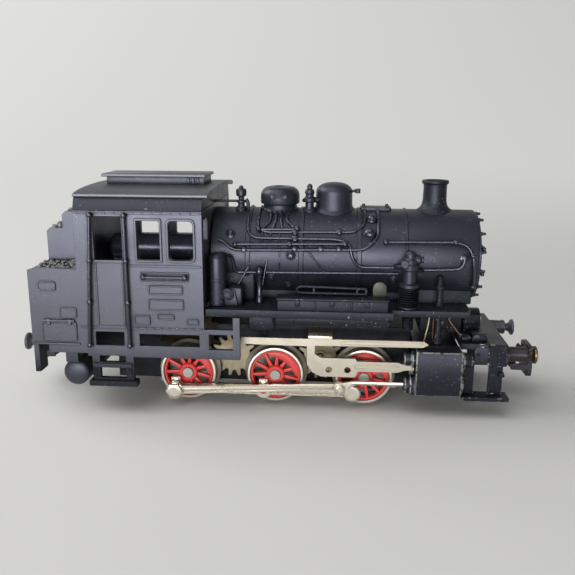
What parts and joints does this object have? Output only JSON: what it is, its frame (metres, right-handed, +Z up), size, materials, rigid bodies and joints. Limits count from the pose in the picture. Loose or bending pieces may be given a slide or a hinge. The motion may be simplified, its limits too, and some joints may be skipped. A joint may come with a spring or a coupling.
{
  "type": "model steam locomotive",
  "caption": "Model steam tank locomotive with spoked wheels, coupling and main rods on cranks, a geared motor under a hollow cab, a bunker and a boiler with domes and chimney.",
  "frame": {"origin": "on the table under the middle axle, at the middle of the overall length and width", "axes": "+X towards the chimney end, +Z up, -Y the right-hand side, which the picture shows"},
  "size_m": [0.1124, 0.0364, 0.0492],
  "materials": {
    "black_paint": "satin black paint",
    "red_paint": "satin red paint",
    "nickel_plate": "nickel plate",
    "zinc": "bare die-cast zinc",
    "steel": "bright steel",
    "brass": "plain brass",
    "worn_brass": "blackened brass, worn",
    "grey_enamel": "grey enamel",
    "brown_board": "brown insulating board",
    "lamp_glass": "frosted glass"
  },
  "bodies": {
    "engine": {"boiler_casting": "black_paint", "smokebox_door": "black_paint", "chimney": "black_paint", "steam_dome": "black_paint", "sand_dome": "black_paint", "air_pump": "black_paint", "feed_tank": "black_paint", "cab_casting": "black_paint", "cab_roof": "black_paint", "cylinder_block": "black_paint", "front_platform": "black_paint", "buffer_rear_right": "black_paint", "buffer_rear_left": "black_paint", "rear_air_tank": "black_paint", "chassis_frame": "zinc", "keeper_plate": "zinc", "body_screw": "steel", "motor_field": "steel", "buffer_front_right": "worn_brass", "buffer_front_left": "worn_brass", "lamp_bulb": "lamp_glass", "brush_plate": "brown_board", "reversing_relay": "grey_enamel", "motion_bracket_right": "nickel_plate", "motion_bracket_left": "nickel_plate"},
    "wheelset_middle": {"axle_middle": "steel", "tyre_middle_right": "nickel_plate", "tyre_middle_left": "nickel_plate", "wheel_centre_middle_right": "red_paint", "wheel_centre_middle_left": "red_paint"},
    "wheelset_rear": {"axle_rear": "steel", "tyre_rear_right": "nickel_plate", "tyre_rear_left": "nickel_plate", "wheel_centre_rear_right": "red_paint", "wheel_centre_rear_left": "red_paint", "crank_screw_rear_right": "steel", "crank_screw_rear_left": "steel"},
    "wheelset_front": {"axle_front": "steel", "tyre_front_right": "nickel_plate", "tyre_front_left": "nickel_plate", "wheel_centre_front_right": "red_paint", "wheel_centre_front_left": "red_paint", "crank_pin_front_right": "steel", "crank_pin_front_left": "steel"},
    "coupling_rod_right": {"coupling_rod_right": "nickel_plate"},
    "coupling_rod_left": {"coupling_rod_left": "nickel_plate"},
    "main_rod_right": {"main_rod_right": "nickel_plate"},
    "main_rod_left": {"main_rod_left": "nickel_plate"},
    "crosshead_right": {"crosshead_right": "nickel_plate"},
    "crosshead_left": {"crosshead_left": "nickel_plate"},
    "idler_gear_rear": {"idler_gear_rear": "brass"},
    "idler_gear_front": {"idler_gear_front": "brass"},
    "reduction_gear": {"reduction_gear": "brass"},
    "armature": {"armature": "steel"},
    "pickup_shoe": {"pickup_shoe": "steel"},
    "coupler_front": {"coupler_front": "steel"},
    "coupler_rear": {"coupler_rear": "steel"},
    "coupler_loop_front": {"coupler_loop_front": "steel"},
    "coupler_loop_rear": {"coupler_loop_rear": "steel"}
  },
  "joints": [
    {"name": "axle_middle_spin", "type": "hinge", "parent": "engine", "child": "wheelset_middle", "pos_m": [0, 0, 0.00685], "axis": [0, 1, 0], "continuous": true},
    {"name": "axle_rear_spin", "type": "hinge", "parent": "engine", "child": "wheelset_rear", "pos_m": [-0.0191, 0, 0.00685], "axis": [0, 1, 0], "continuous": true},
    {"name": "axle_front_spin", "type": "hinge", "parent": "engine", "child": "wheelset_front", "pos_m": [0.0191, 0, 0.00685], "axis": [0, 1, 0], "continuous": true},
    {"name": "coupling_rod_right_pin", "type": "hinge", "parent": "wheelset_middle", "child": "coupling_rod_right", "pos_m": [-0.00246, -0.01115, 0.0037], "axis": [0, 1, 0], "continuous": true},
    {"name": "main_rod_right_pin", "type": "hinge", "parent": "wheelset_rear", "child": "main_rod_right", "pos_m": [-0.02156, -0.01257, 0.0037], "axis": [0, 1, 0], "continuous": true},
    {"name": "crosshead_right_slide", "type": "slide", "parent": "engine", "child": "crosshead_right", "axis": [1, 0, 0], "range_m": [-0.00154, 0.00646]},
    {"name": "coupling_rod_left_pin", "type": "hinge", "parent": "wheelset_middle", "child": "coupling_rod_left", "pos_m": [0.00315, 0.01115, 0.00439], "axis": [0, 1, 0], "continuous": true},
    {"name": "main_rod_left_pin", "type": "hinge", "parent": "wheelset_rear", "child": "main_rod_left", "pos_m": [-0.01595, 0.01257, 0.00439], "axis": [0, 1, 0], "continuous": true},
    {"name": "crosshead_left_slide", "type": "slide", "parent": "engine", "child": "crosshead_left", "axis": [1, 0, 0], "range_m": [-0.00715, 0.00085]},
    {"name": "idler_gear_rear_spin", "type": "hinge", "parent": "engine", "child": "idler_gear_rear", "pos_m": [-0.00955, 0, 0.00982], "axis": [0, 1, 0], "continuous": true},
    {"name": "idler_gear_front_spin", "type": "hinge", "parent": "engine", "child": "idler_gear_front", "pos_m": [0.00955, 0, 0.00982], "axis": [0, 1, 0], "continuous": true},
    {"name": "reduction_gear_spin", "type": "hinge", "parent": "engine", "child": "reduction_gear", "pos_m": [-0.01931, 0, 0.01497], "axis": [0, 1, 0], "continuous": true},
    {"name": "armature_spin", "type": "hinge", "parent": "engine", "child": "armature", "pos_m": [-0.02241, 0, 0.02282], "axis": [0, 1, 0], "continuous": true},
    {"name": "pickup_shoe_lift", "type": "slide", "parent": "engine", "child": "pickup_shoe", "axis": [0, 0, 1], "range_m": [0, 0.0011], "stiffness_N_per_m": 20, "springref_m": -0.003},
    {"name": "coupler_front_swing", "type": "hinge", "parent": "engine", "child": "coupler_front", "pos_m": [0.0466, 0, 0.0092], "axis": [0, 0, 1], "range_deg": [-10, 10]},
    {"name": "coupler_loop_front_lift", "type": "hinge", "parent": "coupler_front", "child": "coupler_loop_front", "pos_m": [0.0524, 0, 0.0078], "axis": [0, -1, 0], "range_deg": [0, 18]},
    {"name": "coupler_rear_swing", "type": "hinge", "parent": "engine", "child": "coupler_rear", "pos_m": [-0.0466, 0, 0.0092], "axis": [0, 0, 1], "range_deg": [-10, 10]},
    {"name": "coupler_loop_rear_lift", "type": "hinge", "parent": "coupler_rear", "child": "coupler_loop_rear", "pos_m": [-0.0524, 0, 0.0078], "axis": [0, 1, 0], "range_deg": [0, 18]}
  ],
  "couplings": [
    {"joint": "axle_rear_spin", "follows": "axle_middle_spin", "ratio": 1},
    {"joint": "axle_front_spin", "follows": "axle_middle_spin", "ratio": 1},
    {"joint": "coupling_rod_right_pin", "follows": "axle_middle_spin", "ratio": -1},
    {"joint": "main_rod_right_pin", "follows": "axle_middle_spin", "ratio": -1},
    {"joint": "coupling_rod_left_pin", "follows": "axle_middle_spin", "ratio": -1},
    {"joint": "main_rod_left_pin", "follows": "axle_middle_spin", "ratio": -1},
    {"joint": "idler_gear_rear_spin", "follows": "axle_middle_spin", "ratio": -1.2857},
    {"joint": "idler_gear_front_spin", "follows": "axle_middle_spin", "ratio": -1.2857},
    {"joint": "reduction_gear_spin", "follows": "axle_middle_spin", "ratio": -2.25},
    {"joint": "armature_spin", "follows": "axle_middle_spin", "ratio": 6.4286}
  ]
}
